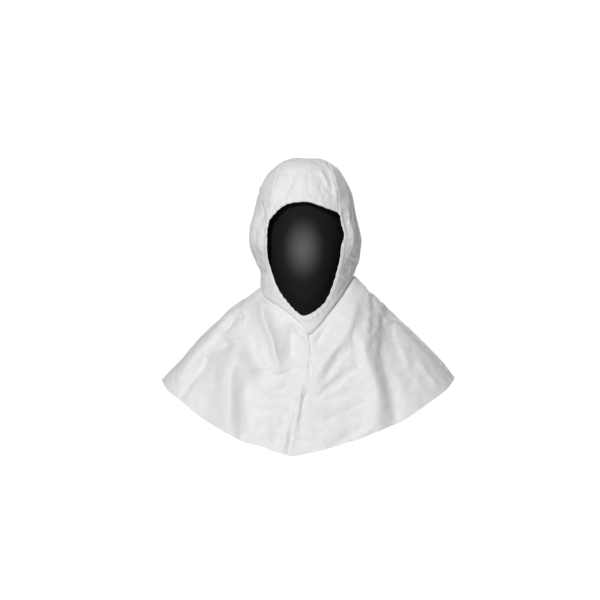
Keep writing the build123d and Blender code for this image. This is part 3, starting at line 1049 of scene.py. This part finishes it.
def care_label():
    """A blank ribbon that hangs from the neck seam at the nape, slightly curled."""
    across = np.linspace(LABEL_LOW[0], LABEL_HIGH[0], 13)
    down = np.linspace(LABEL_HIGH[2], LABEL_LOW[2], 29)
    x, z = np.meshgrid(across, down, indexing="ij")
    share = (LABEL_HIGH[2] - z) / (LABEL_HIGH[2] - LABEL_LOW[2])
    y = LABEL_HIGH[1] - 3 * share**2 + 0.5 * np.sin(x / 4) * share
    grid = np.stack((x, y, z), axis=-1)
    normals = np.broadcast_to(np.array((0.0, 1.0, 0.0)), grid.shape)
    return sheet_mesh(grid, normals, LABEL_THICKNESS)


add_piece("care_label_ribbon", *care_label(), RIBBON, "label", ["care_label"])


# ---- stage: head form, floor, light, camera
def add_stage(name, points, faces, material):
    item = new_object(name, points, faces)
    item.data.materials.append(material)
    item.data.shade_smooth()


def head_material():
    """Dark, with one soft painted highlight at the face, painted into the base colour."""
    material, nodes, links, shader = new_material("dark_head_form")
    spot = nodes.new("ShaderNodeMapping")
    spot.vector_type = "TEXTURE"
    set_inputs(spot, {"Location": np.array(PAINTED_HIGHLIGHT_MIDDLE) * MM, "Scale": np.array(PAINTED_HIGHLIGHT_SIZE) * MM})
    links.new(nodes.new("ShaderNodeTexCoord").outputs["Object"], spot.inputs["Vector"])
    # painted highlight: the base colour lightens towards one spot on the face, where a satin finish would
    # catch the front light
    painted_highlight = pattern(nodes, links, "ShaderNodeTexGradient", spot.outputs["Vector"], {},
                   gradient_type="SPHERICAL")
    colour = ramp(nodes, links, painted_highlight, ((0, (0.014, 0.014, 0.014)), (1, (0.115, 0.115, 0.115))), "EASE")
    links.new(colour, shader.inputs["Base Color"])
    set_inputs(shader, {"Roughness": 0.8, "Specular IOR Level": 0.05})
    return material


def head_form():
    """A dark, featureless display head that fills the hood, with a neck."""
    angle = np.linspace(0, 2 * np.pi, HEAD_COLUMNS, endpoint=False)
    rings = []
    for height, half_width, front, back in HEAD_FORM:
        middle, half_depth = (front + back) / 2, (back - front) / 2
        x, y = half_width * np.sin(angle), middle - half_depth * np.cos(angle)
        rings.append(np.stack((x, y, np.full(HEAD_COLUMNS, height)), axis=-1))
    columns = [spline(column, per_span=8) for column in np.moveaxis(rings, 0, 1)]
    add_stage("head_form", *swept(np.moveaxis(columns, 0, 1), closed=False), head_material())


def floor():
    """A pale disk that glows a little, so that it lights the object from below."""
    material, _, _, shader = new_material("pale_floor")
    set_inputs(shader, {"Base Color": (0.9, 0.9, 0.9, 1), "Roughness": 0.9})
    set_inputs(shader, {"Emission Color": (1, 1, 1, 1), "Emission Strength": FLOOR_GLOW})
    angle = np.linspace(0, 2 * np.pi, FLOOR_CORNERS, endpoint=False)
    points = [(FLOOR_RADIUS * math.cos(a), FLOOR_RADIUS * math.sin(a), FLOOR_HEIGHT) for a in angle]
    add_stage("floor", points, [range(FLOOR_CORNERS)], material)


def add_light(name, place, size, power):
    """A round lamp that points at the middle of the picture."""
    data = bpy.data.lights.new(name, "AREA")
    data.shape = "DISK"
    data.size = size
    data.energy = power
    light = bpy.data.objects.new(name, data)
    light.location = place
    aim = Vector(AIM) * MM - Vector(place)
    light.rotation_euler = aim.to_track_quat("-Z", "Y").to_euler()
    scene.collection.objects.link(light)


def world():
    """White behind the object, and a dimmer white that lights it."""
    scene_world = bpy.data.worlds.new("studio")
    scene.world = scene_world
    scene_world.use_nodes = True
    nodes, links = scene_world.node_tree.nodes, scene_world.node_tree.links
    seen, lighting = nodes["Background"], nodes.new("ShaderNodeBackground")
    set_inputs(seen, {"Color": (1, 1, 1, 1), "Strength": BACKDROP_GLOW})
    set_inputs(lighting, {"Color": (1, 1, 1, 1), "Strength": AMBIENT})
    mix = nodes.new("ShaderNodeMixShader")
    path = nodes.new("ShaderNodeLightPath")
    links.new(path.outputs["Is Camera Ray"], mix.inputs["Fac"])
    links.new(lighting.outputs[0], mix.inputs[1])
    links.new(seen.outputs[0], mix.inputs[2])
    links.new(mix.outputs[0], nodes["World Output"].inputs["Surface"])


head_form()
floor()
world()
for light in LIGHTS:
    add_light(*light)

tilt = math.radians(VIEW_ELEVATION)
camera = bpy.data.objects.new("camera", bpy.data.cameras.new("camera"))
camera.data.lens = LENS
camera.location = Vector(AIM) * MM + VIEW_DISTANCE * Vector((0, -math.cos(tilt), math.sin(tilt)))
camera.rotation_euler = (math.radians(90) - tilt, 0, 0)
scene.collection.objects.link(camera)
scene.camera = camera
scene.view_settings.view_transform = "Standard"
